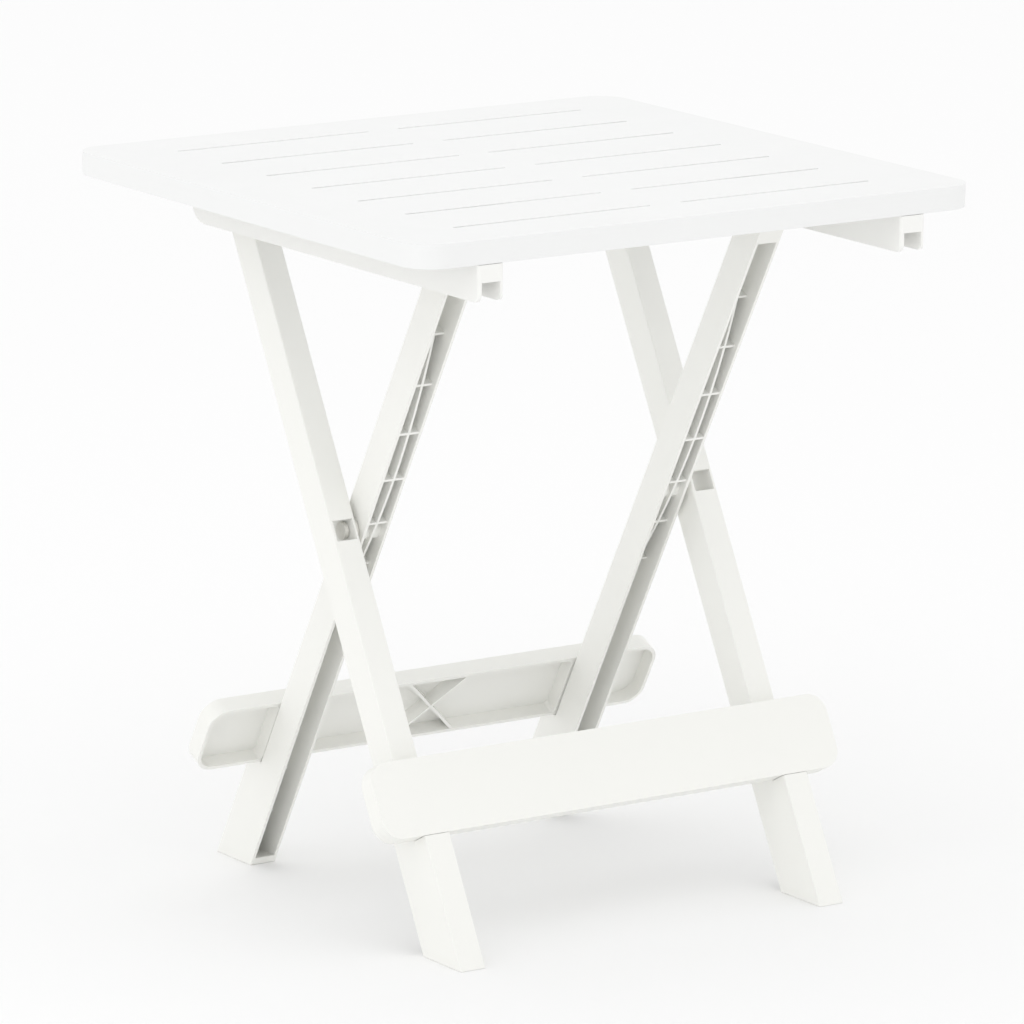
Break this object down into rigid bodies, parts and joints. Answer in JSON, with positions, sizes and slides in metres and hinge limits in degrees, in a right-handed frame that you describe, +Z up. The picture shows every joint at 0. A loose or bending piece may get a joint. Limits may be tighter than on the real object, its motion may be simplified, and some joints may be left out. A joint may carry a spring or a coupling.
{
  "type": "folding picnic table",
  "caption": "Low folding table with a slotted plastic top on two crossed leg frames that slide and swing flat under it.",
  "frame": {"origin": "centre of the table's outline on the floor", "axes": "+Z up, X along the slots of the top, -Y towards the front where the closed face of the front crossbar looks out"},
  "size_m": [0.45, 0.43, 0.5],
  "materials": {
    "top": "satin white",
    "rails": "satin white",
    "frames": "satin white",
    "pins": "satin off-white",
    "screws": "zinc plated"
  },
  "bodies": {
    "top": {"tabletop": "top", "side_rail_left": "rails", "side_rail_right": "rails", "hinge_bracket_left": "rails", "hinge_bracket_right": "rails", "rail_screw_left_1": "screws", "rail_screw_left_2": "screws", "rail_screw_left_3": "screws", "rail_screw_right_1": "screws", "rail_screw_right_2": "screws", "rail_screw_right_3": "screws", "bracket_screw_left_1": "screws", "bracket_screw_left_2": "screws", "bracket_screw_right_1": "screws", "bracket_screw_right_2": "screws"},
    "guides": {"guide_pin_left": "pins", "guide_pin_right": "pins"},
    "outer_frame": {"outer_leg_left": "frames", "outer_leg_right": "frames", "front_crossbar": "frames"},
    "inner_frame": {"inner_leg_left": "frames", "inner_leg_right": "frames", "rear_crossbar": "frames", "pivot_pin_left": "pins", "pivot_pin_right": "pins", "pivot_spacer_left": "pins", "pivot_spacer_right": "pins", "hinge_pin_left": "pins", "hinge_pin_right": "pins"}
  },
  "joints": [
    {"name": "guide_slide", "type": "slide", "parent": "top", "child": "guides", "axis": [0, 1, 0], "range_m": [-0.21912, 0]},
    {"name": "outer_fold", "type": "hinge", "parent": "guides", "child": "outer_frame", "pos_m": [0, 0.10955, 0.47], "axis": [1, 0, 0], "range_deg": [0, 118]},
    {"name": "crossing", "type": "hinge", "parent": "outer_frame", "child": "inner_frame", "pos_m": [0, 0, 0.264], "axis": [1, 0, 0], "range_deg": [-56.02, 0]}
  ],
  "couplings": [
    {"joint": "guide_slide", "follows": "outer_fold", "m_per_rad": -0.10639},
    {"joint": "crossing", "follows": "outer_fold", "ratio": -0.47464}
  ]
}
